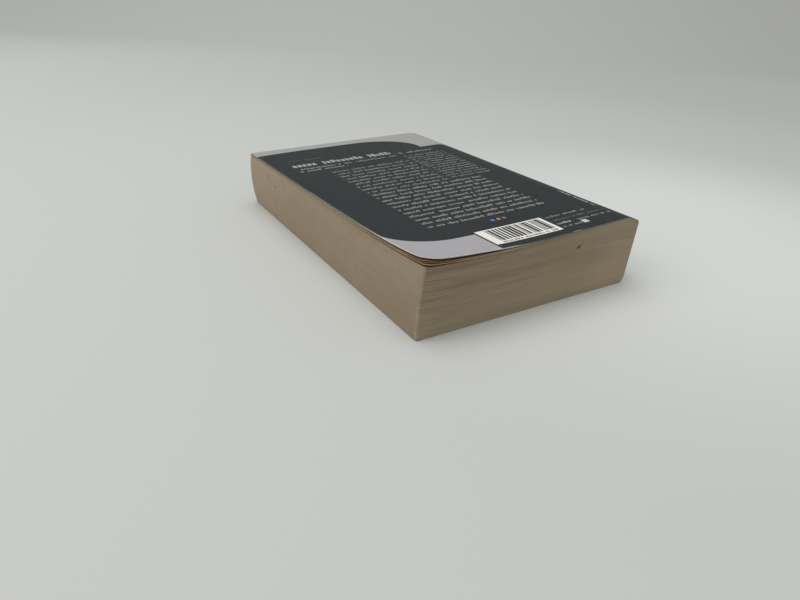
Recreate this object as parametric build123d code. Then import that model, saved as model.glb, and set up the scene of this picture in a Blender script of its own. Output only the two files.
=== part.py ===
"""A thick pocket paperback, lying on its front cover with its back cover up.

Millimetres. X runs from the fore edge to the spine, Y from the tail to the head, Z is up.
The origin is the middle of the footprint, on the surface that the book lies on.
"""

from build123d import *
from math import acos, atan2, cos, radians, sin
import os

os.makedirs("parts", exist_ok=True)

# Size of the whole book
overall_width = 113.0       # foremost page to outermost spine
book_length = 165.0         # tail to head
spine_height = 31.3         # over both covers, at the upper fold

# Cover and glue
card = 0.3                  # thickness of the cover card
side_glue = 0.2             # glue under the strips of cover beside the spine
spine_glue = 0.5            # glue on the backs of the leaves

# Round of the spine, seen from the tail
shoulder_radius = 24.0      # soft roll of the upper shoulder
shoulder_angle = 23.0       # degrees through which the upper shoulder rolls down
upper_corner_radius = 2.2
lower_corner_radius = 4.0
spine_lean = 1.1            # how far the spine's foot stands in from its top
lower_fold_inset = 7.0      # from the spine's foot to the fold of the front cover

# Fore edge, as setbacks from the foremost page
tail_middle_setback = 0.5
tail_top_setback = 2.0
head_foot_setback = 3.6
head_middle_setback = 1.2
head_top_setback = 1.3
page_corner_radius = 0.8

# The block is thinner towards the fore edge
fore_drop = 4.1             # fall of the back cover from the fold to the foremost page

# Worn corner between the tail and the fore edge, where the leaves curl up and fan apart
margin = 3.0                # how far construction shapes reach past the book
corner_lift = 6.5           # rise of the back cover, as far out as the margin reaches
curl_shape = (1, 0.15, 0.2, 0.1, 0, 0, 0, 0, 0, 0, 0)    # how the curl runs out, tail to head
curl_columns = 5            # the more of them, the sooner it runs out towards the spine
sheet_shares = (0.55, 0.7, 0.78, 0.86)      # of the rise: the closed block, then each fanned sheet
sheet = 0.17                # thickness of one fanned sheet of leaves
fan_along_tail = 46.0
fan_along_fore = 40.0
fan_corner_radius = 4.5

# Covers
cover_setback = 0.4         # from the block's top edge to the back cover's edge
worn_corner_radius = 6.5    # back cover at the curled corner
cover_corner_radius = 0.8
front_setback = 0.3         # from the block's foremost foot to the front cover's edge

# Worked out from the sizes above
fore_x = -overall_width / 2
spine_x = overall_width / 2
tail_y = -book_length / 2
head_y = book_length / 2
roll = radians(shoulder_angle)
corner_x = spine_x - upper_corner_radius
corner_z = spine_height - shoulder_radius + (shoulder_radius - upper_corner_radius) * cos(roll)
upper_fold_x = corner_x - (shoulder_radius - upper_corner_radius) * sin(roll)
foot_x = spine_x - spine_lean - lower_corner_radius
lower_fold_x = spine_x - spine_lean - lower_fold_inset
leaf_top = spine_height - card - side_glue      # top of the leaves at the fold
fanned_sheets = len(sheet_shares) - 1
top_share = sheet_shares[-1]                    # share that the uppermost leaves follow


def spine_outline():
    """The book's outline round the spine, from the upper side to the lower, as a closed face."""
    # The straight back touches both corner circles on their outer side.
    run_x = foot_x - corner_x
    run_z = lower_corner_radius - corner_z
    run = (run_x**2 + run_z**2) ** 0.5
    normal = atan2(run_z, run_x) + acos((upper_corner_radius - lower_corner_radius) / run)
    out_x = cos(normal)
    out_z = sin(normal)
    inner_x = upper_fold_x - margin
    fold = (upper_fold_x, spine_height)
    roll_centre_z = spine_height - shoulder_radius
    roll_middle = (
        upper_fold_x + shoulder_radius * sin(roll / 2),
        roll_centre_z + shoulder_radius * cos(roll / 2),
    )
    roll_end = (
        upper_fold_x + shoulder_radius * sin(roll),
        roll_centre_z + shoulder_radius * cos(roll),
    )
    back_top = (corner_x + upper_corner_radius * out_x, corner_z + upper_corner_radius * out_z)
    back_foot = (foot_x + lower_corner_radius * out_x, lower_corner_radius * (1 + out_z))
    return make_face(
        [
            Line((inner_x, 0), (inner_x, spine_height)),
            Line((inner_x, spine_height), fold),
            ThreePointArc(fold, roll_middle, roll_end),
            RadiusArc(roll_end, back_top, upper_corner_radius),
            Line(back_top, back_foot),
            RadiusArc(back_foot, (foot_x, 0), lower_corner_radius),
            Line((foot_x, 0), (inner_x, 0)),
        ]
    )


def strip(low_x, low_z, high_x, high_z):
    """A rectangle in the section seen from the tail."""
    return Pos((low_x + high_x) / 2, (low_z + high_z) / 2) * Rectangle(high_x - low_x, high_z - low_z)


def seen_from_tail(y):
    """The plane across the book at one place along its length, for sections in X and Z."""
    return Plane(origin=(0, y, 0), x_dir=(1, 0, 0), z_dir=(0, -1, 0))


def along_book(section):
    """Carries a section along the whole length of the book."""
    return extrude(seen_from_tail(0) * section, amount=book_length / 2, both=True)


def sheet_surface(base_z, share):
    """The surface of a leaf or a cover: it falls from the fold to the fore edge, and at the worn
    corner it follows a share of the cover's rise."""
    rows = len(curl_shape) - 1
    width = upper_fold_x - fore_x + margin
    points = []
    for column in range(curl_columns + 1):
        away = width * column / curl_columns
        fall = fore_drop * away / (upper_fold_x - fore_x)
        line = []
        for row, curl in enumerate(curl_shape):
            y = tail_y - margin + (book_length + 2 * margin) * row / rows
            rise = corner_lift * share * curl if column == curl_columns else 0
            line.append(Vector(upper_fold_x - away, y, base_z - fall + rise))
        points.append(line)
    return Face.make_bezier_surface(points)


def below(surface):
    """Everything under a curved sheet, down past the bottom of the book."""
    return extrude(surface, amount=spine_height + corner_lift + margin, dir=(0, 0, -1))


def fore_section(foot_setback, middle_setback, top_setback, y):
    """The leaves' section at one end of the book, open above for the curved top."""
    foot = (fore_x + foot_setback, card)
    middle = (fore_x + middle_setback, spine_height / 2)
    top = (fore_x + top_setback, spine_height)
    above = spine_height + corner_lift
    face = make_face(
        [
            ThreePointArc(foot, middle, top),
            Polyline(top, (top[0], above), (upper_fold_x, above), (upper_fold_x, card), foot),
        ]
    )
    return seen_from_tail(y) * face


def fan_gap(number):
    """The air between a fanned sheet and what lies under it, wider than the book. Sheet 0 is the
    closed block."""
    base = leaf_top - (fanned_sheets - number + 1) * sheet
    over = sheet_surface(base, sheet_shares[number])
    under = sheet_surface(base, sheet_shares[number - 1])
    return below(over) - below(under)


def fan_area():
    """The corner of the plan where the leaves have come apart, a quarter of an ellipse."""
    outline = Pos(fore_x, tail_y) * Ellipse(fan_along_tail, fan_along_fore)
    return extrude(outline, amount=spine_height + corner_lift + margin)


def plan(fore_tail, fore_head, fold, near_radius, far_radius):
    """A cover's outline seen from above, with its two fore edge corners rounded."""
    outline = make_face(Polyline((fold, tail_y), fore_tail, fore_head, (fold, head_y), close=True))
    near = outline.vertices().sort_by_distance(Vector(*fore_tail))[0]
    outline = fillet(near, near_radius)
    far = outline.vertices().sort_by_distance(Vector(*fore_head))[0]
    return fillet(far, far_radius)


def leaf_body():
    """The leaves from the fore edge to the fold, closed up, under the curved top."""
    tail_end = fore_section(0, tail_middle_setback, tail_top_setback, tail_y)
    head_end = fore_section(head_foot_setback, head_middle_setback, head_top_setback, head_y)
    body = loft([tail_end, head_end], ruled=True)
    corners = body.edges().filter_by(GeomType.LINE, reverse=True)
    body = fillet(corners, page_corner_radius)
    return body & below(sheet_surface(leaf_top, top_share))


def fanned_corner(body):
    """Parts the upper leaves at the worn corner and rounds their tips."""
    area = fan_area()
    for number in range(1, fanned_sheets + 1):
        body -= fan_gap(number) & area
    tip_x = fore_x + tail_top_setback
    round_centre = Pos(tip_x + fan_corner_radius, tail_y + fan_corner_radius)
    side = fan_corner_radius + margin
    square = Rectangle(side, side, align=(Align.MAX, Align.MAX))
    waste = round_centre * (square - Circle(fan_corner_radius))
    closed_top = sheet_surface(leaf_top - fanned_sheets * sheet, sheet_shares[0])
    return body - (extrude(waste, amount=spine_height + corner_lift) - below(closed_top))


def page_block(leaf_backs, glued):
    """All the leaves: the free part with its worn corner, and the part held in the spine."""
    under_fold = strip(upper_fold_x, card, lower_fold_x, spine_height / 2)
    return fanned_corner(leaf_body()) + along_book((leaf_backs & glued) + under_fold)


def back_cover():
    """The upper cover, a bent sheet of card that follows the leaves and curls up at the corner."""
    edge_x = fore_x + cover_setback
    outline = plan(
        (edge_x + tail_top_setback, tail_y),
        (edge_x + head_top_setback, head_y),
        upper_fold_x,
        worn_corner_radius,
        cover_corner_radius,
    )
    bent = extrude(sheet_surface(spine_height, 1), amount=card, dir=(0, 0, -1))
    return bent & extrude(outline, amount=spine_height + corner_lift)


def front_cover():
    """The lower cover, flat under the leaves."""
    edge_x = fore_x + front_setback
    outline = plan(
        (edge_x, tail_y),
        (edge_x + head_foot_setback, head_y),
        lower_fold_x,
        cover_corner_radius,
        cover_corner_radius,
    )
    return extrude(outline, amount=card)


outside = spine_outline()
card_inside = offset(outside, -card)
leaf_backs = Pos(side_glue - spine_glue, 0) * offset(outside, -card - side_glue)
reach_x = spine_x + margin
middle_z = spine_height / 2
glued_upper = strip(upper_fold_x, middle_z, reach_x, spine_height + margin)
glued = glued_upper + strip(lower_fold_x, -margin, reach_x, middle_z)

pieces = {
    "page_block": page_block(leaf_backs, glued),
    "spine_glue": along_book((card_inside - leaf_backs) & glued),
    "spine_cover": along_book((outside - card_inside) & glued),
    "back_cover": back_cover(),
    "front_cover": front_cover(),
}

for name, piece in pieces.items():
    export_step(piece, f"parts/{name}.step")
    print(f"{name}: {piece.volume:.1f} mm3")
print(f"fold of the back cover: x {upper_fold_x:.4f}, z {spine_height:.4f}")
print(f"fold of the front cover: x {lower_fold_x:.4f}, z 0")
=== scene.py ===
# %% [markdown]
# # A thick pocket paperback
#
# This lesson dresses a CAD model of a worn paperback, which lies with its back cover up. The CAD
# gives the sizes and the folds. Blender adds what a reader sees: the edges of hundreds of leaves,
# a curled corner where the leaves have come apart, and one card cover with its print and its wear.
# Lengths are in metres, X runs from the fore edge to the spine, Y from the tail to the head.

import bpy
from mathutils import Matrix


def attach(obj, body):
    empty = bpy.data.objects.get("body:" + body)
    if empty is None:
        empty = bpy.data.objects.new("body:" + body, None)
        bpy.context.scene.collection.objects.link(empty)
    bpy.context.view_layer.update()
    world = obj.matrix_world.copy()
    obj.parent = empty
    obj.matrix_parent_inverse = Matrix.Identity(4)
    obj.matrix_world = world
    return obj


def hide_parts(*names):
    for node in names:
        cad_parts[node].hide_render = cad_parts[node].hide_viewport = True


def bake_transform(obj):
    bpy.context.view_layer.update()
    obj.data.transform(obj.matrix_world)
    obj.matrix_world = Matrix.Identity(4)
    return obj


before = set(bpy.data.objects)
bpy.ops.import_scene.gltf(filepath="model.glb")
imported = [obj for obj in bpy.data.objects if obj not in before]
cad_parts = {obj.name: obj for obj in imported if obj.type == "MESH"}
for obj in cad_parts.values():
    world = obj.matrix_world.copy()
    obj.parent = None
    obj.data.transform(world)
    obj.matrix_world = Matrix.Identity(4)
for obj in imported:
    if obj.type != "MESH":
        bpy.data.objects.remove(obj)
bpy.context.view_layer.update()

# %% The tools of the lesson
import math
import bmesh
import bpy
from mathutils import Matrix, Vector, noise

MM = 0.001

# %% [markdown]
# ## The sizes of the book
#
# The frame gives each piece's box, but not the radii, the lean and the curl, so they are named here
# as the CAD has them. Everything below is placed by these few values, which is why a change to the
# book's size has only one place to be made.

# %% Sizes that the pieces share
fore_x, tail_y = -56.5 * MM, -82.5 * MM
book_length = 165 * MM
head_y = tail_y + book_length
spine_height = 31.3 * MM
spine_x = 56.5 * MM
card = 0.3 * MM
side_glue, spine_glue = 0.2 * MM, 0.5 * MM
leaf_top = spine_height - card - side_glue
shoulder_round, upper_round, lower_round = 24 * MM, 2.2 * MM, 4 * MM
roll = math.radians(23)
spine_lean, lower_fold_inset = 1.1 * MM, 7 * MM
corner_x = spine_x - upper_round
corner_z = spine_height - shoulder_round + (shoulder_round - upper_round) * math.cos(roll)
foot_x = spine_x - spine_lean - lower_round
fold_x = corner_x - (shoulder_round - upper_round) * math.sin(roll)
lower_fold_x = spine_x - spine_lean - lower_fold_inset
fold_u = fold_x - fore_x
print("the back cover folds at x", round(fold_x, 5), "and the front cover at x", round(lower_fold_x, 5))

# %% [markdown]
# ## The surface of a leaf
#
# Read many times, the book is thinner at the fore edge than at the spine, and one corner has curled
# up. A lattice or a sculpt could bend the sheets, but then each sheet would bend a little differently
# and cut into the next. One formula serves every sheet instead: it falls evenly from the fold, and
# a share of the curl is added that dies out along both edges.

# %% Height of a sheet at a place on the book
fore_drop = 4.1 * MM
corner_lift = 6.5 * MM
curl_reach = 3 * MM
curl_power = 5
curl_shape = (1, 0.15, 0.2, 0.1, 0, 0, 0, 0, 0, 0, 0)


def curl(x, y):
    """How much of the corner's lift reaches this place, from 0 to 1."""
    across = (fold_x - x) / (fold_x - fore_x + curl_reach)
    along = (y - tail_y + curl_reach) / (book_length + 2 * curl_reach)
    if across <= 0:
        return 0.0
    rows = len(curl_shape) - 1
    runs_out = sum(
        weight * math.comb(rows, row) * along**row * (1 - along) ** (rows - row)
        for row, weight in enumerate(curl_shape)
        if weight
    )
    return across**curl_power * runs_out


def sheet_height(x, y, base, share):
    """Height of a sheet that lies at base beside the fold and follows a share of the curl."""
    fall = fore_drop * max(fold_x - x, 0) / (fold_x - fore_x)
    return base - fall + share * corner_lift * curl(x, y)


print("the curl lifts the cover's corner to", round(sheet_height(fore_x, tail_y, spine_height, 1), 4))

# %% [markdown]
# ## Cutting a sheet
#
# Leaves and cover are flat sheets before they are bent, with a rounded corner or two. A grid has no
# round corners, so the sheet starts as one face with four vertices. A vertex bevel rounds a corner,
# and then bisect_plane cuts the face into a net, fine enough to bend smoothly.

# %% A flat sheet with rounded corners
same_place = 1e-7


def cut_sheet(outline, rounding, across_cuts, along_cuts):
    """A net in the XY plane. rounding gives the radius at each of the outline's four vertices."""
    bm = bmesh.new()
    corners = [bm.verts.new((x, y, 0)) for x, y in outline]
    bm.faces.new(corners)
    for vert, radius in zip(corners, rounding):
        if radius:
            bmesh.ops.bevel(
                bm, geom=[vert], offset=radius, offset_type="OFFSET", affect="VERTICES",
                segments=8, profile=0.5, material=-1,
            )
    for axis, cuts in ((0, across_cuts), (1, along_cuts)):
        normal = Vector((axis == 0, axis == 1, 0))
        for cut in cuts:
            bmesh.ops.bisect_plane(
                bm, geom=bm.verts[:] + bm.edges[:] + bm.faces[:], dist=same_place,
                plane_co=normal * cut, plane_no=normal,
            )
    return bm


def steps(start, end, count):
    """The inner cuts that divide a length into equal steps."""
    return [start + (end - start) * i / count for i in range(1, count)]


def keep_flat_place(bm, across=lambda x: x - fore_x):
    """A UV map in metres: where each vertex lay on the whole flat sheet before it was bent."""
    layer = bm.loops.layers.uv.new("flat_place")
    for face in bm.faces:
        for loop in face.loops:
            loop[layer].uv = (across(loop.vert.co.x), loop.vert.co.y - tail_y)


def finished(bm, name, *materials, sharp=35):
    """Turns a bmesh into an object at the origin, smooth except at edges sharper than an angle."""
    for face in bm.faces:
        face.smooth = True
    for edge in bm.edges:
        edge.smooth = len(edge.link_faces) == 2 and edge.calc_face_angle() < math.radians(sharp)
    mesh = bpy.data.meshes.new(name)
    bm.to_mesh(mesh)
    bm.free()
    piece = bpy.data.objects.new(name, mesh)
    bpy.context.scene.collection.objects.link(piece)
    for material in materials:
        mesh.materials.append(material)
    print(name, len(mesh.vertices), "vertices", len(mesh.polygons), "faces")
    return piece


# %% [markdown]
# ## Small helpers for nodes
#
# The print and the paper are drawn with nodes, most of them Math nodes. Written out, each node takes
# three lines, so small helpers keep the recipes readable. One adds a node of any kind, and most of
# the others call it for what comes again and again: a product, a soft step, a mix of colours, a noise,
# a distance. The last two finish a material with its colour, its roughness and a little bump.

# %% Node helpers
def new_material(name):
    material = bpy.data.materials.new(name)
    material.use_nodes = True
    tree = material.node_tree
    return material, tree, tree.nodes["Principled BSDF"]


def add(tree, kind, values=None, **settings):
    """A node of a kind, with its settings, and its sockets given a value or a link."""
    node = tree.nodes.new(kind)
    for key, value in settings.items():
        setattr(node, key, value)
    for key, value in (values or {}).items():
        if isinstance(value, bpy.types.NodeSocket):
            tree.links.new(value, node.inputs[key])
        else:
            node.inputs[key].default_value = value
    return node


def maths(tree, operation, *values):
    return add(tree, "ShaderNodeMath", dict(enumerate(values)), operation=operation).outputs[0]


def times(tree, first, second):
    return maths(tree, "MULTIPLY", first, second)


def soft_step(tree, value, low, high, to_low=0.0, to_high=1.0):
    """Goes from to_low to to_high as value goes from low to high, and stays there past either end."""
    values = {"Value": value, "From Min": low, "From Max": high, "To Min": to_low, "To Max": to_high}
    return add(tree, "ShaderNodeMapRange", values, interpolation_type="SMOOTHSTEP", clamp=False).outputs[0]


def mix(tree, factor, first, second):
    """Mixes two colours, each a link or an RGBA tuple."""
    node = add(tree, "ShaderNodeMix", data_type="RGBA")
    for socket, value in zip((node.inputs[0], node.inputs[6], node.inputs[7]), (factor, first, second)):
        if isinstance(value, bpy.types.NodeSocket):
            tree.links.new(value, socket)
        else:
            socket.default_value = value
    return node.outputs[2]


def noise_of(tree, vector, scale, detail=2.0, roughness=0.5):
    values = {"Vector": vector, "Scale": scale, "Detail": detail, "Roughness": roughness}
    return add(tree, "ShaderNodeTexNoise", values).outputs["Fac"]


def stretched(tree, vector, scale):
    """The same vector with each axis scaled by its own number."""
    return add(tree, "ShaderNodeVectorMath", {0: vector, 1: scale}, operation="MULTIPLY").outputs[0]


def length_of(tree, vector):
    return add(tree, "ShaderNodeVectorMath", {0: vector}, operation="LENGTH").outputs["Value"]


def distance(tree, vector, point):
    values = {0: vector, 1: point}
    return add(tree, "ShaderNodeVectorMath", values, operation="DISTANCE").outputs["Value"]


def flat_place_of(tree):
    """Where the shaded point lay on the flat sheet, in metres from the corner of tail and fore edge."""
    return add(tree, "ShaderNodeUVMap", uv_map="flat_place").outputs[0]


def srgb(red, green, blue):
    """A colour as a picture shows it, from 0 to 255, turned into the linear numbers of a shader."""
    shares = (red / 255, green / 255, blue / 255)
    return (*(c / 12.92 if c <= 0.04045 else ((c + 0.055) / 1.055) ** 2.4 for c in shares), 1.0)


def from_round_corner(tree, from_fore, from_tail, radius):
    """Distance to the sheet's edge near its rounded corner, up to the radius. Below zero it is outside."""
    short_fore = maths(tree, "MAXIMUM", maths(tree, "SUBTRACT", radius, from_fore), 0)
    short_tail = maths(tree, "MAXIMUM", maths(tree, "SUBTRACT", radius, from_tail), 0)
    short = add(tree, "ShaderNodeCombineXYZ", {0: short_fore, 1: short_tail}).outputs[0]
    return maths(tree, "SUBTRACT", radius, length_of(tree, short))


def paint(tree, shader, colour, roughness, specular=0.5):
    tree.links.new(colour, shader.inputs["Base Color"])
    shader.inputs["Roughness"].default_value = roughness
    shader.inputs["Specular IOR Level"].default_value = specular


def roughen(tree, shader, height, strength=0.2):
    """A bump a tenth of a millimetre deep."""
    bump = add(tree, "ShaderNodeBump", {"Height": height, "Strength": strength, "Distance": 0.1 * MM})
    tree.links.new(bump.outputs[0], shader.inputs["Normal"])


# %% [markdown]
# ## The leaves' edges
#
# The trimmed edges of cheap paper go tan with age. What tells the eye that it is paper is that every
# mark follows the leaves: long thin lines, hardly any across. So the material reads a UV map of the
# block, in which one axis runs along the leaves and the other counts them, and its noise is
# stretched far along the first. Near the worn corner the leaves have loosened, so the lines are
# stronger there, painted darker as shade in the gaps between the leaves. The grooves get painted
# shade as well, and the edges painted light towards the spine and the head. Stains soak across the
# leaves instead, so they are placed by Object coordinates.

# %% Paper edge material
leaf_edges, tree, shader = new_material("aged_leaf_edges")
along_leaves = add(tree, "ShaderNodeUVMap", uv_map="along_the_leaves").outputs[0]
here = stretched(tree, add(tree, "ShaderNodeTexCoord").outputs["Object"], (1000, 1000, 1000))
streaks = noise_of(tree, stretched(tree, along_leaves, (13, 310, 1)), 1, 4, 0.6)
fine_lines = noise_of(tree, stretched(tree, along_leaves, (40, 4200, 1)), 1, 2, 0.55)
loose_lines = noise_of(tree, stretched(tree, along_leaves, (34, 1500, 1)), 1, 2, 0.55)
clouds = noise_of(tree, here, 0.035, 3, 0.5)
blotches = noise_of(tree, here, 0.16, 2, 0.5)


def distance_to(tree, point, scale=(1, 1, 1)):
    """Distance in millimetres to a point of the book, with each axis scaled by its own number."""
    target = [p * k for p, k in zip(point, scale)]
    return distance(tree, stretched(tree, here, scale), target)


worn_corner = (fore_x / MM + 2, tail_y / MM, 27)
apart = add(tree, "ShaderNodeSeparateXYZ", {0: here})
off_middle = maths(tree, "ABSOLUTE", apart.outputs[1])
on_ends = soft_step(tree, off_middle, head_y / MM - 2, head_y / MM - 0.2)
loosened = soft_step(tree, distance_to(tree, worn_corner, (1, 2.2, 1.1)), 8, 52, 1, 0)
loosened = times(tree, loosened, maths(tree, "MULTIPLY_ADD", on_ends, 0.9, 0.1))
smooth_colour = mix(tree, soft_step(tree, blotches, 0.3, 0.7), srgb(148, 133, 112), srgb(153, 138, 119))
streaked_colour = mix(tree, soft_step(tree, streaks, 0.32, 0.68), srgb(138, 123, 104), srgb(158, 144, 123))
colour = mix(tree, maths(tree, "MULTIPLY_ADD", on_ends, 0.8, 0.2), smooth_colour, streaked_colour)
colour = mix(tree, soft_step(tree, clouds, 0.4, 0.75, 0, 0.5), colour, srgb(152, 132, 106))
# The ends are lighter towards their foot. The lighter colour towards the spine and towards the head is
# painted light.
paler_and_painted_light = times(tree, soft_step(tree, apart.outputs[2], 3, 25, 1, 0), on_ends)
painted_light_near_spine = soft_step(tree, apart.outputs[0], 0, 60, 0, 0.4)
paler_and_painted_light = maths(tree, "MAXIMUM", times(tree, paler_and_painted_light, 0.45), painted_light_near_spine)
paler_and_painted_light = maths(tree, "MAXIMUM", paler_and_painted_light, soft_step(tree, apart.outputs[1], 10, 80, 0, 0.42))
colour = mix(tree, paler_and_painted_light, colour, srgb(172, 158, 134))
# Painted light: the tail is lighter near the foot of the spine.
spine_foot = distance_to(tree, (50, tail_y / MM, 3), (1, 0.4, 1.5))
painted_light_at_spine_foot = times(tree, soft_step(tree, spine_foot, 8, 34, 0.34, 0), on_ends)
colour = mix(tree, painted_light_at_spine_foot, colour, srgb(190, 170, 142))
off_ends = maths(tree, "SUBTRACT", 1, on_ends)
# Browner towards the foot of the near corner, and a band of painted shade along the top of the fore edge,
# under the edge of the cover.
browner_and_painted_shade = soft_step(tree, distance_to(tree, (fore_x / MM, tail_y / MM, 4), (1, 0.4, 1)), 4, 22, 0.5, 0)
painted_shade_under_cover = soft_step(tree, distance_to(tree, (fore_x / MM, -28, 31), (1, 0.2, 1.5)), 4, 13, 0.6, 0)
browner_and_painted_shade = times(tree, maths(tree, "MAXIMUM", browner_and_painted_shade, painted_shade_under_cover), off_ends)
colour = mix(tree, browner_and_painted_shade, colour, srgb(134, 119, 97))
colour = mix(tree, soft_step(tree, fine_lines, 0.5, 0.8, 0, 0.12), colour, srgb(112, 98, 80))
# Painted shade: darker lines in the gaps between the loosened leaves near the worn corner.
loose_line_shade = times(tree, soft_step(tree, loose_lines, 0.47, 0.65, 0, 0.28), loosened)
colour = mix(tree, loose_line_shade, colour, srgb(96, 82, 64))
# Painted shade: the depth of each groove and crack darkens the edge.
groove = add(tree, "ShaderNodeAttribute", attribute_name="groove").outputs["Fac"]
colour = mix(tree, times(tree, groove, 0.24), colour, srgb(96, 82, 64))

# %% [markdown]
# The edges carry a few marks: three small brown spots and a faint crease near the head of the fore
# edge, and a short dark dent with a scratch beside it on the tail. Each is the distance to a point,
# squeezed on one axis to make it long, and turned into a soft spot.

# %% Spots, a crease and a dent
tan_spot, dark_spot = srgb(104, 90, 68), srgb(84, 68, 50)
blotches_fine = noise_of(tree, here, 1.1, 2, 0.5)


def soft_mark(tree, point, turn, length, width):
    """A soft mark on the fore edge or an end, long along the leaves unless angles in degrees turn it."""
    moved = add(tree, "ShaderNodeVectorMath", {0: here, 1: point}, operation="SUBTRACT").outputs[0]
    values = {"Vector": moved, "Rotation": tuple(math.radians(a) for a in turn)}
    turned = add(tree, "ShaderNodeMapping", values).outputs[0]
    squeezed = stretched(tree, turned, (1 / length, 1 / length, 1 / width))
    size = length_of(tree, squeezed)
    uneven = maths(tree, "MULTIPLY_ADD", blotches_fine, 0.8, maths(tree, "SUBTRACT", size, 0.4))
    return soft_step(tree, uneven, 0.3, 1.15, 1, 0)


# A mark's place in millimetres, its turn in degrees, its length and width in millimetres, its strength
marks = [
    ((-55.5, 56.2, 21.9), (20, 0, 0), 1.5, 0.95, 0.38),
    ((-55.5, 47.8, 18.8), (-15, 0, 0), 1.7, 1.2, 0.46),
    ((-55.4, 54.6, 14.1), (30, 0, 0), 1.5, 1.0, 0.32),
    ((-55.2, 49.2, 11.3), (-66, 0, 0), 4.5, 0.6, 0.26),
]
for point, turn, length, width, strength in marks:
    mark = soft_mark(tree, point, turn, length, width)
    colour = mix(tree, times(tree, mark, strength), colour, tan_spot)
dent = soft_mark(tree, (20.9, tail_y / MM, 22.8), (0, 25, 0), 1.5, 1.0)
scratch = soft_mark(tree, (22.3, tail_y / MM, 23.6), (0, 34, 0), 2.1, 0.7)
dented = maths(tree, "MAXIMUM", dent, times(tree, scratch, 0.45))
colour = mix(tree, times(tree, dented, 0.85), colour, dark_spot)
paint(tree, shader, colour, 0.92, 0.2)
roughen(tree, shader, fine_lines)

# %% [markdown]
# ## The page
#
# Where a cover opens, a page shows: cream paper with a fine fibre, toned brown along its edges,
# where air and light reached it. Near the worn corner the last few millimetres are darkened, partly
# by grime from fingers and partly as painted shade, which makes the gaps of the fan read as dark lines.

# %% The page material
page, tree, shader = new_material("yellowed_page")
leaf_setback, grime_and_shade_round = 1.9 * MM, 6.5 * MM
place = flat_place_of(tree)
split = add(tree, "ShaderNodeSeparateXYZ", {0: place})
from_fore, from_tail = split.outputs[0], split.outputs[1]
fibres = noise_of(tree, place, 900, 4, 0.6)
blotches = noise_of(tree, place, 60, 4, 0.65)
from_leaf_edge = maths(tree, "SUBTRACT", from_fore, leaf_setback)
near_edge = maths(tree, "MINIMUM", from_leaf_edge, from_tail)
near_edge = maths(tree, "MINIMUM", near_edge, maths(tree, "SUBTRACT", book_length, from_tail))
toning = soft_step(tree, maths(tree, "MULTIPLY_ADD", blotches, 0.014, near_edge), 0.005, 0.02, 0.6, 0)
from_corner = length_of(tree, place)
handled = soft_step(tree, from_corner, 0.006, 0.03, 0.4, 0)
from_edge = from_round_corner(tree, from_leaf_edge, from_tail, grime_and_shade_round)
# Grime from fingers and painted shade: the last few millimetres near the worn corner are darkened, which
# makes the gaps of the fan dark.
grime_and_shade = soft_step(tree, maths(tree, "MULTIPLY_ADD", blotches, 0.0024, from_edge), 0.0016, 0.0042, 0.85, 0)
grime_and_shade = times(tree, grime_and_shade, soft_step(tree, from_corner, 0.025, 0.06, 1, 0))
colour = mix(tree, soft_step(tree, fibres, 0.3, 0.7), srgb(208, 197, 172), srgb(219, 209, 186))
colour = mix(tree, toning, colour, srgb(184, 166, 136))
# A thin strip at the very edge is toned like the leaf edges and darkened further as painted shade, so that
# the lit top renders as dark as the shaded edges.
colour = mix(tree, soft_step(tree, near_edge, 0.0004, 0.0016, 0.9, 0), colour, srgb(130, 117, 97))
colour = mix(tree, handled, colour, srgb(160, 130, 98))
colour = mix(tree, grime_and_shade, colour, srgb(100, 68, 43))
paint(tree, shader, colour, 0.9, 0.2)
roughen(tree, shader, fibres)

# %% [markdown]
# ## The closed block of leaves
#
# Some three hundred leaves lie shut as one block. A real one is a stack of sheets, but three
# hundred sheets would cost millions of faces that nobody sees. Only the trimmed walls show, so the
# block starts as a flat sheet with its two fore corners rounded, which is extruded to unit height.
# Its upright edges are subdivided into rows, three rows for each small bundle of leaves, and each
# vertex is then moved to its place on its leaf. The width of the flat sheet only matters for the size
# of its round corners, since the sheet is fitted between the fore edge and the spine.

# %% The trimmed outline
tail_setbacks = (0.0, 0.5 * MM, 2.0 * MM)
head_setbacks = (3.6 * MM, 1.2 * MM, 1.3 * MM)


def through(values, share):
    """A smooth curve through three values at 0, a half and 1."""
    low, middle, high = values
    return low + share * (4 * middle - 3 * low - high) + share**2 * (2 * low + 2 * high - 4 * middle)


def fore_edge_x(along, up):
    tail, head = through(tail_setbacks, up), through(head_setbacks, up)
    return fore_x + tail + (head - tail) * along


# %% [markdown]
# On the other side the backs of the leaves follow the spine, inside the card and its glue: a small
# round at the top, a straight lean, a larger round at the foot. The top of the block rolls down
# towards it, and meets the small round where two circles cross. The straight back touches both
# rounds on their outer side, which gives its lean.

# %% The backs of the leaves
back_shift = spine_glue - side_glue
inner_upper = upper_round - card - side_glue
inner_lower = lower_round - card - side_glue
run_x, run_z = foot_x - corner_x, lower_round - corner_z
lean = math.atan2(run_z, run_x) + math.acos((upper_round - lower_round) / math.hypot(run_x, run_z))
shoulder = shoulder_round - card - side_glue
roll_x = fold_x - back_shift


def leaf_backs_x(z):
    """Where the leaves end at the spine, at one height."""
    top = (corner_x - back_shift + inner_upper * math.cos(lean), corner_z + inner_upper * math.sin(lean))
    foot = (foot_x - back_shift + inner_lower * math.cos(lean), lower_round + inner_lower * math.sin(lean))
    if z > top[1]:
        return corner_x - back_shift + math.sqrt(max(inner_upper**2 - (z - corner_z) ** 2, 0))
    if z < foot[1]:
        return foot_x - back_shift + math.sqrt(max(inner_lower**2 - (z - lower_round) ** 2, 0))
    return foot[0] + (top[0] - foot[0]) * (z - foot[1]) / (top[1] - foot[1])


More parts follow.
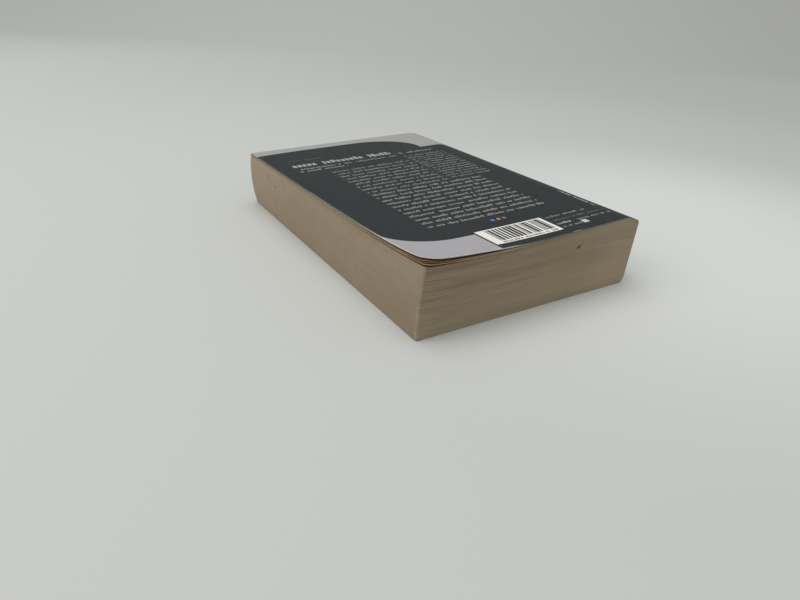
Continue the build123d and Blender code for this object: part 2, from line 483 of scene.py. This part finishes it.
def block_top(x, y, base, share):
    """The height of a leaf at a place. It rolls down over the shoulder beyond the fold."""
    height = sheet_height(x, y, base, share)
    if x > roll_x:
        radius = shoulder - (leaf_top - base)
        height -= radius - math.sqrt(radius**2 - (x - roll_x) ** 2)
    return height


def leaf_end_x(base):
    """How far a leaf that lies at base beside the fold reaches towards the spine."""
    radius, apart = shoulder - (leaf_top - base), shoulder_round - upper_round
    past = math.acos(min((radius**2 + apart**2 - inner_upper**2) / (2 * radius * apart), 1))
    return roll_x + radius * math.sin(roll + past)


print("the spine leans", round(math.degrees(-lean), 2), "degrees")
print("the last leaf ends at x", round(leaf_end_x(leaf_top), 5))

# %% The block
bundles = 82
rows_each = 3
parted_leaves = 6
leaf = 0.11 * MM
corner_round = 0.8 * MM
closed_top = leaf_top - parted_leaves * leaf
closed_share = 0.55
across_steps, along_steps = 34, 66

block_width = 111 * MM
outline = [(0, 0), (block_width, 0), (block_width, book_length), (0, book_length)]
across_cuts, along_cuts = steps(0, block_width, across_steps), steps(0, book_length, along_steps)
bm = cut_sheet(outline, (corner_round, 0, 0, corner_round), across_cuts, along_cuts)
raised = bmesh.ops.extrude_face_region(bm, geom=bm.faces[:], use_keep_orig=True)
bmesh.ops.translate(bm, verts=[v for v in raised["geom"] if isinstance(v, bmesh.types.BMVert)], vec=(0, 0, 1))
upright = [e for e in bm.edges if abs(e.verts[0].co.z - e.verts[1].co.z) > 0.5]
bmesh.ops.subdivide_edges(bm, edges=upright, cuts=bundles * rows_each - 1, use_grid_fill=False)
bmesh.ops.recalc_face_normals(bm, faces=bm.faces)
bm.normal_update()
print("upright edges", len(upright), "faces", len(bm.faces))

# %% [markdown]
# A bundle's own place in or out is a few hundredths of a millimetre, and between two bundles is a
# shallow groove. Both are small enough to leave the block its outline and large enough to catch the
# light as long fine lines. Near the worn corner some grooves open into cracks. The numbers come from
# Perlin noise, so every run gives the same block. All of it lies a hair inside the outline of the CAD.

# %% Each vertex goes to its leaf
relief = 0.035 * MM
groove_depth = 0.05 * MM
crack_depth = 0.07 * MM
crack_reach = 38 * MM
inset = 0.06 * MM
# The UV map counts the leaves as if the block were this high all over
counted_height = 27 * MM
same_share = 1e-6
along_layer = bm.loops.layers.uv.new("along_the_leaves")
flat_place = bm.loops.layers.uv.new("flat_place")
groove_layer = bm.verts.layers.float.new("groove")
top_end_x = leaf_end_x(closed_top)
top_end_z = block_top(top_end_x, 0, closed_top, 0)
height_of, outwards = {}, {}
for vert in bm.verts:
    height_of[vert] = vert.co.z
    outwards[vert] = Vector((vert.normal.x, vert.normal.y, 0))
for vert in bm.verts:
    across, along, up = vert.co.x / block_width, vert.co.y / book_length, vert.co.z
    bundle, part = divmod(round(up * bundles * rows_each), rows_each)
    y = tail_y + along * book_length
    x = fore_edge_x(along, up)
    x += (leaf_backs_x(card + up * (top_end_z - card)) - x) * across
    z = card + up * (block_top(x, y, closed_top, closed_share) - card)
    wave = noise.noise(Vector((x * 60, y * 60, bundle * 7.3)))
    out = relief * (noise.noise(Vector((0.5, 3.1, bundle * 1.7))) + 0.35 * wave)
    depth = 0.0
    if part == 0 and 0 < up < 1:
        depth = groove_depth * (0.3 + 1.2 * abs(noise.noise(Vector((x * 25, y * 25, bundle * 3.9)))))
        from_corner = math.hypot(x - fore_x, 3 * (y - tail_y), 1.6 * (leaf_top - z))
        if noise.noise(Vector((7.7, 0.4, bundle * 0.83))) > 0.05:
            depth += crack_depth * max(1 - from_corner / crack_reach, 0)
    # The depth is kept for the edge material, which paints shade into the grooves and cracks with it.
    vert[groove_layer] = min(depth / (groove_depth + crack_depth), 1)
    if across < 1 - same_share and outwards[vert].length > 0.1:
        moved = outwards[vert].normalized() * (out - depth - inset)
        x, y = x + moved.x, y + moved.y
    vert.co = (x, y, z)
for face in bm.faces:
    on_ends = abs(face.normal.y) > 0.7
    rows = [height_of[vert] for vert in face.verts]
    face.material_index = 1 if max(rows) - min(rows) < same_share else 0
    for loop in face.loops:
        x, y, z = loop.vert.co
        loop[along_layer].uv = (x if on_ends else y, height_of[loop.vert] * counted_height)
        loop[flat_place].uv = (x - fore_x, y - tail_y)
bm.normal_update()
block = finished(bm, "closed_leaves", leaf_edges, page, sharp=60)
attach(block, "book")
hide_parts("page_block")

# %% [markdown]
# ## The leaves that have come apart
#
# At the worn corner the last leaves stand up with the cover and air shows between them. They are
# real sheets here, full size, since the cover opens and bares them. Each one follows its own share
# of the curl. The shares rise from leaf to leaf, so no two cross, and they rise unevenly, since
# leaves stick together in twos and threes. A wide gap parts them all from the block.

# %% The edge of a parted leaf
parted_edge, tree, shader = new_material("parted_leaf_edge")
place = flat_place_of(tree)
spots = noise_of(tree, stretched(tree, place, (90, 90, 1)), 1, 3, 0.6)
from_corner = length_of(tree, stretched(tree, place, (1, 1.3, 1)))
near_corner = soft_step(tree, from_corner, 0.011, 0.022, 1, 0)
redness = times(tree, near_corner, soft_step(tree, spots, 0.35, 0.6, 0.3, 0.8))
shade = add(tree, "ShaderNodeAttribute", attribute_name="shade").outputs["Fac"]
colour = mix(tree, soft_step(tree, spots, 0.35, 0.65), srgb(172, 154, 130), srgb(184, 167, 143))
split = add(tree, "ShaderNodeSeparateXYZ", {0: place})
along_fore = soft_step(tree, split.outputs[1], 0.012, 0.03)
along_tail = soft_step(tree, split.outputs[0], 0.035, 0.06)
# Along the tail the edges take the block's colour, painted lighter towards the spine as the block's edges
# are.
as_block_with_painted_light = mix(tree, soft_step(tree, split.outputs[0], 0.06, 0.112), srgb(144, 130, 110), srgb(166, 152, 129))
colour = mix(tree, along_tail, colour, as_block_with_painted_light)
colour = mix(tree, along_fore, colour, srgb(158, 142, 120))
colour = mix(tree, redness, colour, srgb(196, 144, 110))
colour = mix(tree, times(tree, shade, near_corner), colour, srgb(122, 80, 50))
paint(tree, shader, colour, 0.9, 0.2)

# %% The parted leaves
leaf_shares = (0.69, 0.692, 0.694, 0.775, 0.81, 0.885)
leaf_shades = (0.2, 0.0, 0.1, 0.6, 0.25, 0.55)
leaf_corners = (2.5 * MM, 2.5 * MM, 2.5 * MM, 4.5 * MM, 4.5 * MM, 4.5 * MM)
leaf_net, roll_steps = (30, 44), 6
tip_inset, tip_scatter = 0.05 * MM, 0.25 * MM
head_corner, leaf_thickness = 0.5 * MM, 0.95 * leaf
for number, share in enumerate(leaf_shares):
    base = closed_top + (number + 1) * leaf
    end_x = leaf_end_x(base)
    shift = tip_scatter * noise.noise(Vector((number * 2.3, 1.7, 0.4)))
    outline = [
        (fore_x + tail_setbacks[2] + tip_inset + shift, tail_y + tip_inset - shift / 3),
        (end_x, tail_y + inset),
        (end_x, head_y - inset),
        (fore_x + head_setbacks[2] + tip_inset + shift, head_y - inset),
    ]
    cuts = steps(fore_x, fold_x, leaf_net[0]) + [fold_x] + steps(fold_x, end_x, roll_steps)
    rounding = (leaf_corners[number], 0, 0, head_corner)
    bm = cut_sheet(outline, rounding, cuts, steps(tail_y, head_y, leaf_net[1]))
    keep_flat_place(bm)
    shade_layer = bm.verts.layers.float.new("shade")
    for vert in bm.verts:
        vert[shade_layer] = leaf_shades[number]
        vert.co.z = block_top(vert.co.x, vert.co.y, base, share)
    bm.normal_update()
    lowered = bmesh.ops.extrude_face_region(bm, geom=bm.faces[:], use_keep_orig=True)
    under = [g for g in lowered["geom"] if isinstance(g, bmesh.types.BMVert)]
    bmesh.ops.translate(bm, verts=under, vec=(0, 0, -leaf_thickness))
    bmesh.ops.recalc_face_normals(bm, faces=bm.faces)
    for face in bm.faces:
        face.material_index = 1 if abs(face.normal.z) < 0.5 else 0
    sheet = finished(bm, f"parted_leaf_{number + 1}", page, parted_edge)
    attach(sheet, "book")

# %% [markdown]
# ## The glue in the spine
#
# Hot-melt glue holds the leaves in the cover. It only shows as a thin line at the tail and head, so
# the CAD piece stays and gets a material: a waxy cream that dust has darkened.

# %% Glue material
glue, tree, shader = new_material("old_hot_melt_glue")
place = add(tree, "ShaderNodeTexCoord").outputs["Object"]
dust = noise_of(tree, place, 600, 3, 0.6)
paint(tree, shader, mix(tree, dust, srgb(138, 127, 107), srgb(166, 153, 130)), 0.6)
roughen(tree, shader, dust)
glue_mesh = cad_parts["spine_glue"].data
glue_mesh.materials.clear()
glue_mesh.materials.append(glue)

# %% [markdown]
# ## The printed card
#
# The cover is one sheet of card, printed on its outer side and coated with a satin film. An image
# would be the quick way to print it, but the design is only fields of flat colour, lines of small
# type and a bar code label, so it is drawn by nodes from the flat place of the card, in millimetres:
# u from the fore edge of the leaves and v from the tail. The type is greeked, as in a designer's
# rough: blocks of the right size and weight that say nothing.

# %% The card's own millimetres
printed, tree, shader = new_material("printed_satin_card")
place_mm = stretched(tree, flat_place_of(tree), (1000, 1000, 1000))
split = add(tree, "ShaderNodeSeparateXYZ", {0: place_mm})
u, v = split.outputs[0], split.outputs[1]
blur = 0.12


def falls(value, at, edge=blur):
    """1 where value is below a mark and 0 above it, with a soft edge."""
    return soft_step(tree, value, at - edge, at + edge, 1, 0)


def inside(value, low, high, edge=blur):
    """1 where value lies between low and high, with a soft edge."""
    return times(tree, soft_step(tree, value, low - edge, low + edge), falls(value, high, edge))


def patch(left, right, low, high, edge=blur):
    return times(tree, inside(u, left, right, edge), inside(v, low, high, edge))


def most(*masks):
    result = masks[0]
    for mask in masks[1:]:
        result = maths(tree, "MAXIMUM", result, mask)
    return result


# %% [markdown]
# A large dark panel with generous round corners fills most of the card and leaves a lavender grey
# corner at the fore edge's tail and another at the head. Each round corner is a quarter of an
# ellipse: the distances past its centre are divided by its two radii, squared and added up. A field
# that runs on over the edge of the card ends at a place far beyond it.

# %% The dark panel
beyond = 500


def rounded(centre_u, centre_v, radius_u, radius_v):
    """1 inside a corner. A radius below zero turns the corner to the other side."""
    past_u = maths(tree, "DIVIDE", maths(tree, "SUBTRACT", u, centre_u), radius_u)
    past_v = maths(tree, "DIVIDE", maths(tree, "SUBTRACT", v, centre_v), radius_v)
    past_u, past_v = maths(tree, "MAXIMUM", past_u, 0), maths(tree, "MAXIMUM", past_v, 0)
    total = maths(tree, "ADD", maths(tree, "POWER", past_u, 2), maths(tree, "POWER", past_v, 2))
    return falls(total, 1, 0.008)


panel = most(rounded(27, 35, -25.1, -18.6), patch(-beyond, 30, 36.5, beyond))
panel = times(tree, panel, rounded(60, 138, 31, 20))
panel = times(tree, panel, rounded(35, 140, -80, 18))
dark = most(panel, patch(36.0, beyond, -beyond, 134.5))

# %% [markdown]
# ## Lines of small type
#
# A line is divided into cells as wide as a letter, and each cell holds one block. White noise gives
# one block in four an ascender's height and leaves one cell blank in each group of cells, so the
# words come out of uneven length. A fine noise lightens the blocks here and there, as the strokes
# and the openings of real letters would.

# %% Greeked type
strokes = noise_of(tree, stretched(tree, place_mm, (1.7, 0.8, 1)), 1, 1, 0.5)
stroke_ink = soft_step(tree, strokes, 0.38, 0.58, 0.25, 1)
row_key, line_key = 61.0, 7.13


def white(cell, row, line):
    """One random number for each cell of a row. The last number tells one set of lines from another."""
    key = maths(tree, "ADD", maths(tree, "MULTIPLY_ADD", row, row_key, cell), line * line_key)
    return add(tree, "ShaderNodeTexWhiteNoise", {"W": key}, noise_dimensions="1D").outputs[0]


def type_lines(left, right, bottom, height, ink, letter, pitch=1000.0, count=1, word=7, low=0.7,
               turned=False):
    """The ink of lines of type, from 0 to 1. Places and sizes are in millimetres: bottom is the lowest
    line's foot and pitch the way up to the next. word is the number of cells in a group, or 0 for a
    line without gaps, and low the share of the height that a block has without an ascender. Turned
    lines run from the tail to the head."""
    along, up = (v, u) if turned else (u, v)
    climbed = maths(tree, "DIVIDE", maths(tree, "SUBTRACT", up, bottom), pitch)
    row = maths(tree, "FLOOR", climbed)
    in_row = times(tree, maths(tree, "SUBTRACT", climbed, row), pitch)
    counted = maths(tree, "DIVIDE", along, letter)
    cell = maths(tree, "FLOOR", counted)
    in_cell = times(tree, maths(tree, "SUBTRACT", counted, cell), letter)
    tall = maths(tree, "GREATER_THAN", white(cell, row, bottom), 0.75)
    risen = maths(tree, "ADD", in_row, times(tree, tall, -height * (1 - low)))
    block = times(tree, inside(in_row, 0, height), falls(risen, height * low))
    block = times(tree, block, inside(in_cell, 0.12 * letter, 0.86 * letter))
    if word:
        group = maths(tree, "FLOOR", maths(tree, "DIVIDE", cell, word))
        blank = maths(tree, "FLOOR", times(tree, white(group, row, bottom + 0.5), word))
        here_in_group = maths(tree, "SUBTRACT", cell, times(tree, group, word))
        apart = maths(tree, "ABSOLUTE", maths(tree, "SUBTRACT", here_in_group, blank))
        block = times(tree, block, maths(tree, "MINIMUM", apart, 1))
    block = times(tree, block, inside(row, -0.5, count - 0.5, 0.01))
    block = times(tree, block, inside(along, left, right))
    return times(tree, times(tree, block, stroke_ink), ink)


# %% The lines
pitch, lower_lines = 4.37, 30.1
upper_lines = lower_lines + 11 * pitch
ink = most(
    type_lines(11, 24.5, 129.2, 4.8, 0.68, 2.7, word=0, low=0.76),
    type_lines(28, 51.5, 129.2, 4.7, 0.68, 2.7, word=0, low=0.76),
    type_lines(55, 68.5, 129.2, 4.6, 0.68, 2.7, word=0, low=0.76),
    type_lines(11, 41.2, 124.2, 2.4, 0.42, 1.6),
    type_lines(44, 68.6, 124.2, 2.3, 0.36, 1.5),
    type_lines(11, 37.4, 120.4, 2.4, 0.42, 1.6),
    type_lines(11, 32, 139.4, 2.2, 0.1, 2.4),
    type_lines(71.5, 94.2, 126.6, 2.8, 0.34, 2.4),
    type_lines(71.5, 97, 79.2, 1.9, 0.3, 1.2, pitch=3.45, count=13),
    type_lines(24, 86.2, lower_lines, 2.1, 0.45, 1.35, pitch=pitch, count=11, low=0.66),
    type_lines(24, 69.6, upper_lines, 2.1, 0.37, 1.35, pitch=pitch, count=9, low=0.66),
    type_lines(73, 96, 16, 1.6, 0.4, 1.7),
    type_lines(72.5, 105, 12.3, 1.2, 0.22, 1.1),
    type_lines(73, 80.5, 8.6, 1.7, 0.7, 1.3, word=0),
    type_lines(83.2, 104.4, 8.6, 1.5, 0.4, 1.2),
    type_lines(73, 83.4, 5.3, 1.5, 0.4, 1.1),
    type_lines(17.5, 40, 104.1, 1.5, 0.75, 1.2, turned=True),
    times(tree, patch(84.4, 87.4, 5.0, 7.8), 0.8),
)

# %% [markdown]
# ## The label and the three dots
#
# The bar code holds one bar in each cell, thick or thin as white noise has it, or hairlines instead,
# so it codes for nothing. A row of tiny marks stands for its figures. Three dots of colour sit above.

# %% Label and dots
label = patch(37, 71.3, 4.2, 18.2)
bars_left, bars_right = 41.0, 69.6
bar_pitch, hairline_pitch = 1.75, 0.62
counted = maths(tree, "DIVIDE", maths(tree, "SUBTRACT", u, bars_left), bar_pitch)
bar = maths(tree, "FLOOR", counted)
in_bar = maths(tree, "SUBTRACT", counted, bar)
thickness = maths(tree, "MULTIPLY_ADD", white(bar, 1, 0.5), 0.4, 0.44)
thick_bars = falls(maths(tree, "SUBTRACT", in_bar, thickness), 0, 0.05)
hairlines = inside(maths(tree, "FRACT", maths(tree, "DIVIDE", u, hairline_pitch)), 0.2, 0.75, 0.1)
fine_cells = maths(tree, "GREATER_THAN", white(bar, 2, 0.5), 0.68)
bars = most(
    times(tree, thick_bars, maths(tree, "SUBTRACT", 1, fine_cells)),
    times(tree, hairlines, fine_cells),
)
bars = times(tree, bars, patch(bars_left, bars_right, 6.8, 17.5, 0.05))
label_ink = most(bars, type_lines(bars_left, bars_right, 4.7, 1.5, 1.0, 1.0, word=9, low=0.95))
dots_v, dot_radius = 25.3, 1.0
dots = ((52.4, srgb(84, 128, 165)), (55.5, srgb(166, 128, 92)), (58.6, srgb(150, 92, 92)))

# %% [markdown]
# ## Wear
#
# Handling rubs the film off at the card's edges and shows the pale card below. Wear is never even,
# and an edge that is pale all round looks drawn, so it is kept to the stretches where fingers
# held the book: along the fore edge, mostly in two places, a thin line round the curled corner and
# a spot on the tail. Noise makes its border ragged. The film itself is what makes the card satin, so the
# roughness changes with the rubbing too.

# %% The card's colours
lavender = srgb(165, 163, 166)
charcoal = srgb(32, 36, 38)
white_ink = srgb(216, 216, 212)
bare_card = srgb(206, 200, 188)

mottle = noise_of(tree, stretched(tree, place_mm, (0.05, 0.05, 1)), 1, 3, 0.55)
grain = noise_of(tree, stretched(tree, place_mm, (2.4, 2.4, 1)), 1, 3, 0.6)
# The lavender is painted darker towards the head, as a painted falloff of the light.
field = mix(tree, soft_step(tree, v, 30, 150), lavender, srgb(158, 158, 157))
ground = mix(tree, dark, field, charcoal)
ground = mix(tree, soft_step(tree, mottle, 0.35, 0.7, 0, 0.05), ground, srgb(92, 96, 96))
colour = mix(tree, ink, ground, white_ink)
for dot_u, dot_colour in dots:
    dot = falls(distance(tree, place_mm, (dot_u, dots_v, 0)), dot_radius)
    colour = mix(tree, dot, colour, dot_colour)
colour = mix(tree, label, colour, srgb(232, 230, 223))
colour = mix(tree, times(tree, label_ink, label), colour, srgb(26, 25, 26))

# %% Rubbed places
cover_setback, cover_lean = 2.4 * MM, -0.0042
cover_round = 6.5 * MM
ragged = noise_of(tree, stretched(tree, place_mm, (0.5, 0.5, 1)), 1, 4, 0.7)
ragged = times(tree, maths(tree, "SUBTRACT", ragged, 0.5), 1.6)
cover_edge_u = maths(tree, "ADD", times(tree, v, cover_lean), cover_setback / MM)
from_fore_edge = maths(tree, "SUBTRACT", u, cover_edge_u)
held = most(inside(v, 51, 92, 3), inside(v, 31, 37, 1.5))
rubbed_fore = falls(maths(tree, "MULTIPLY_ADD", ragged, 0.6, from_fore_edge), 0.45, 0.35)
rubbed_fore = times(tree, rubbed_fore, maths(tree, "MULTIPLY_ADD", held, 0.25, 0.28))
from_round_edge = from_round_corner(tree, from_fore_edge, v, cover_round / MM)
rubbed_corner = falls(maths(tree, "MULTIPLY_ADD", ragged, 0.4, from_round_edge), 0.36, 0.2)
round_it = times(tree, falls(u, 44, 3), falls(v, 34, 3))
rubbed_corner = times(tree, rubbed_corner, round_it)
rubbed_tail = times(tree, falls(maths(tree, "ADD", v, ragged), 0.4, 0.3), inside(u, 73, 76.5, 1))
rubbed = most(rubbed_fore, rubbed_corner, rubbed_tail)
colour = mix(tree, times(tree, rubbed, 0.6), colour, bare_card)
tree.links.new(colour, shader.inputs["Base Color"])

# %% The satin film
film = soft_step(tree, mottle, 0.3, 0.7, 0.46, 0.54)
tree.links.new(maths(tree, "MULTIPLY_ADD", rubbed, 0.3, film), shader.inputs["Roughness"])
shader.inputs["Specular IOR Level"].default_value = 0.2
waves = noise_of(tree, stretched(tree, place_mm, (0.06, 0.03, 1)), 1, 2, 0.5)
bump = add(tree, "ShaderNodeBump", {"Height": waves, "Strength": 0.5, "Distance": 0.6 * MM})
fine = {"Height": grain, "Strength": 0.1, "Distance": 0.05 * MM, "Normal": bump.outputs[0]}
tree.links.new(add(tree, "ShaderNodeBump", fine).outputs[0], shader.inputs["Normal"])

# %% [markdown]
# The inner side is bare white card gone cream. The cut edge has taken up dirt from the hands and is
# darker, except near the worn corner, where it was rubbed clean.

# %% Bare inner side and cut edge of the card
inner_side, tree, shader = new_material("bare_card_inside")
inner_round = 9.5 * MM
place = flat_place_of(tree)
fibres = noise_of(tree, place, 700, 4, 0.6)
clouds = noise_of(tree, place, 30, 3, 0.5)
colour = mix(tree, soft_step(tree, fibres, 0.3, 0.7), srgb(222, 216, 202), srgb(232, 227, 214))
colour = mix(tree, soft_step(tree, clouds, 0.45, 0.8, 0, 0.5), colour, srgb(206, 192, 164))
split = add(tree, "ShaderNodeSeparateXYZ", {0: place})
from_fore = maths(tree, "SUBTRACT", split.outputs[0], cover_setback)
from_edge = from_round_corner(tree, from_fore, split.outputs[1], inner_round)
# Grime and painted shade: the inner side darkens near the curled corner, where it roofs the gap under the
# cover.
grime_and_shade = soft_step(tree, maths(tree, "MULTIPLY_ADD", clouds, 0.004, from_edge), 0.003, 0.0065, 0.7, 0)
grime_and_shade = times(tree, grime_and_shade, soft_step(tree, length_of(tree, place), 0.03, 0.07, 1, 0))
colour = mix(tree, grime_and_shade, colour, srgb(112, 84, 60))
paint(tree, shader, colour, 0.8)
roughen(tree, shader, fibres, 0.15)

cut_edge, tree, shader = new_material("worn_cut_card")
place = flat_place_of(tree)
dirt = soft_step(tree, noise_of(tree, place, 160, 3, 0.6), 0.3, 0.7)
clean = soft_step(tree, length_of(tree, place), 0.036, 0.06, 0.8, 0)
colour = mix(tree, dirt, srgb(146, 141, 128), srgb(114, 109, 96))
paint(tree, shader, mix(tree, clean, colour, srgb(212, 202, 184)), 0.9)

# %% [markdown]
# ## Folding the cover
#
# The back cover and the spine are one piece, so that the fold between them bends as card does
# instead of gaping. It is cut flat. Then everything past a line is turned a few degrees about that
# line, line after line, which is how a sheet is wrapped round a shape in small steps.

# %% A sheet bent round the spine
def bend_past(bm, layer, line, angle):
    """Turns all of the sheet past a line of the flat sheet downwards, by an angle in radians."""
    past = [vert for vert in bm.verts if vert[layer] > line + same_place]
    on_line = min(bm.verts, key=lambda vert: abs(vert[layer] - line)).co
    turn = Matrix.Rotation(angle, 3, "Y")
    bmesh.ops.rotate(bm, verts=past, cent=(on_line.x, 0, on_line.z), matrix=turn)


def turn_sheet(bm, upwards):
    """Turns a sheet's printed side up or down."""
    bm.normal_update()
    if (sum(face.normal.z for face in bm.faces) > 0) != upwards:
        bmesh.ops.reverse_faces(bm, faces=bm.faces)


def give_thickness(sheet):
    """Grows the card inwards, with materials of their own for its inner side and its cut edge."""
    thickness = sheet.modifiers.new("card thickness", "SOLIDIFY")
    thickness.thickness = card
    thickness.offset = -1
    thickness.material_offset = 1
    thickness.material_offset_rim = 2
    return thickness


straight_back = math.sqrt(run_x**2 + run_z**2 - (upper_round - lower_round) ** 2)
quarter = math.pi / 2
# The straight run before each round, then its radius, its angle and the number of steps
bends = [
    (0.0, shoulder_round, roll, 10),
    (0.0, upper_round, quarter - roll - lean, 9),
    (straight_back, lower_round, quarter + lean, 11),
]
lines = []
at = fold_u
for straight, radius, angle, count in bends:
    at += straight
    step = radius * angle / count
    for i in range(count + 1):
        share = 0.5 if i in (0, count) else 1.0
        lines.append((at + step * i, angle / count * share))
    at += step * count
sheet_end = at + foot_x - lower_fold_x
print("the cover's back and spine are", round(sheet_end / MM, 1), "mm of card, bent at", len(lines), "lines")

# %% [markdown]
# Along the tail, near the worn corner, the card stands half a millimetre higher than the curl alone
# would lift it, because the last leaf no longer lies close to it. That small swell is added to its
# height. At the fold the net is finer, so that the card bends round a narrow crease when it opens.

# %% Back cover and spine
crease = 1.8 * MM
cover_edge = 0.4 * MM
swell = 0.54 * MM
swell_at, swell_width, swell_depth = 24 * MM, 16 * MM, 14 * MM
back_net, front_net, crease_steps = (46, 60), (30, 40), 10


def cover_height(x, y):
    """Height of the back cover's upper side, with its swell over the loose leaves."""
    along_tail = math.exp(-(((x - fore_x - swell_at) / swell_width) ** 2))
    return sheet_height(x, y, spine_height, 1) + swell * along_tail * math.exp((tail_y - y) / swell_depth)


outline = [
    (fore_x + tail_setbacks[2] + cover_edge, tail_y),
    (fore_x + sheet_end, tail_y),
    (fore_x + sheet_end, head_y),
    (fore_x + head_setbacks[2] + cover_edge, head_y),
]
crease_x = fold_x - crease
cuts = steps(fore_x, crease_x, back_net[0]) + [crease_x] + steps(crease_x, fold_x, crease_steps)
cuts += sorted({round(fore_x + line, 7) for line, angle in lines})
bm = cut_sheet(outline, (cover_round, 0, 0, corner_round), cuts, steps(tail_y, head_y, back_net[1]))
keep_flat_place(bm)
flat_u = bm.verts.layers.float.new("flat_u")
for vert in bm.verts:
    vert[flat_u] = vert.co.x - fore_x
    vert.co.z = cover_height(vert.co.x, vert.co.y) if vert.co.x < fold_x else spine_height
for line, angle in lines:
    bend_past(bm, flat_u, line, angle)
turn_sheet(bm, upwards=True)
back = finished(bm, "back_cover_and_spine", printed, inner_side, cut_edge)
give_thickness(back).use_even_offset = True
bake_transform(back)
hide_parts("back_cover", "spine_cover")

# %% [markdown]
# The front cover lies under the book. It is the same card, so it takes the same print, and its fold
# bends away from the block when it opens. Its flat places run on from the spine's.

# %% Front cover
front_edge = 0.3 * MM
outline = [
    (fore_x + front_edge, tail_y),
    (lower_fold_x, tail_y),
    (lower_fold_x, head_y),
    (fore_x + head_setbacks[0] + front_edge, head_y),
]
crease_x = lower_fold_x - crease
cuts = steps(fore_x, crease_x, front_net[0]) + [crease_x]
cuts += steps(crease_x, lower_fold_x, crease_steps)
bm = cut_sheet(outline, (corner_round, 0, 0, corner_round), cuts, steps(tail_y, head_y, front_net[1]))
keep_flat_place(bm, lambda x: sheet_end + lower_fold_x - x)
turn_sheet(bm, upwards=False)
front = finished(bm, "front_cover_card", printed, inner_side, cut_edge)
give_thickness(front)
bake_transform(front)
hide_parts("front_cover")

# %% [markdown]
# ## Floor, light and camera
#
# A pale sweep stands in for the photographer's table: a floor that curves up into a wall, so no line
# crosses behind the book. It lies a hair below the book, because a front cover that is opened right
# round ends up level with the table, and two faces in one plane render as noise. The sweep is painted
# a little lighter beside the spine and far off, in place of more lamps, which would light the book
# too. The light is broad and soft, a little stronger from the fore edge's side. The camera stands low
# and near, with a wide lens, which is what makes the near corner loom.

# %% The sweep
sweep, tree, shader = new_material("pale_sweep")
place = add(tree, "ShaderNodeTexCoord").outputs["Object"]
pool_centre = (0.15, -0.06, 0)
away = distance(tree, place, pool_centre)
far_off = soft_step(tree, away, 0.45, 1.0)
colour = mix(tree, soft_step(tree, away, 0.04, 0.24, 1, 0), srgb(196, 198, 194), srgb(216, 218, 216))
paint(tree, shader, mix(tree, far_off, colour, srgb(211, 213, 211)), 0.95, 0.1)

reach, bend, turn = 1.6, 0.7, math.radians(-30)
bm = bmesh.new()
clear_of_cover = Matrix.Translation((0, 0, -0.05 * MM))
bmesh.ops.create_grid(bm, x_segments=1, y_segments=1, size=reach, matrix=clear_of_cover)
edge = max(bm.edges, key=lambda e: sum(v.co.y for v in e.verts))
raised = bmesh.ops.extrude_edge_only(bm, edges=[edge])["geom"]
bmesh.ops.translate(bm, verts=[g for g in raised if isinstance(g, bmesh.types.BMVert)], vec=(0, 0, reach))
bmesh.ops.bevel(
    bm, geom=[edge], offset=bend, offset_type="OFFSET", affect="EDGES", segments=24, profile=0.5,
    material=-1,
)
bmesh.ops.rotate(bm, verts=bm.verts, cent=(0, 0, 0), matrix=Matrix.Rotation(turn, 3, "Z"))
bmesh.ops.recalc_face_normals(bm, faces=bm.faces)
floor = finished(bm, "pale_floor_sweep", sweep)

# %% Light
world = bpy.data.worlds.new("soft_tent")
bpy.context.scene.world = world
world.use_nodes = True
background = world.node_tree.nodes["Background"]
background.inputs["Color"].default_value = (1.0, 1.0, 0.985, 1.0)
background.inputs["Strength"].default_value = 0.48


def soft_lamp(name, place, size, power):
    lamp = bpy.data.lights.new(name, "AREA")
    lamp.shape = "SQUARE"
    lamp.size = size
    lamp.energy = power
    holder = bpy.data.objects.new(name, lamp)
    holder.location = place
    holder.rotation_euler = (-Vector(place)).to_track_quat("-Z", "Y").to_euler()
    bpy.context.scene.collection.objects.link(holder)


soft_lamp("tent_top", (-0.1, 0.15, 1.1), 0.9, 6.2)
soft_lamp("tent_left", (-0.9, 0.1, 0.6), 0.8, 3.5)

# %% Camera
image_width, focal_pixels, sensor = 800, 601.0, 36.0
azimuth, elevation, tilt = (math.radians(a) for a in (-34.267, 27.629, 3.774))
level = Vector((math.cos(azimuth), math.sin(azimuth), 0))
outward = Vector((math.sin(azimuth), -math.cos(azimuth), 0))
back_axis = outward * math.cos(elevation) + Vector((0, 0, math.sin(elevation)))
upward = back_axis.cross(level)
right = math.cos(tilt) * level + math.sin(tilt) * upward
above = -math.sin(tilt) * level + math.cos(tilt) * upward
lens = bpy.data.cameras.new("photo_view")
lens.lens = focal_pixels * sensor / image_width
lens.sensor_width = sensor
lens.clip_start = 0.01
camera = bpy.data.objects.new("photo_view", lens)
stand = Vector((-164.648, -229.845, 111.925)) * MM
camera.matrix_world = Matrix.Translation(stand) @ Matrix((right, above, back_axis)).transposed().to_4x4()
bpy.context.scene.collection.objects.link(camera)
bpy.context.scene.camera = camera
bpy.context.scene.view_settings.view_transform = "Standard"
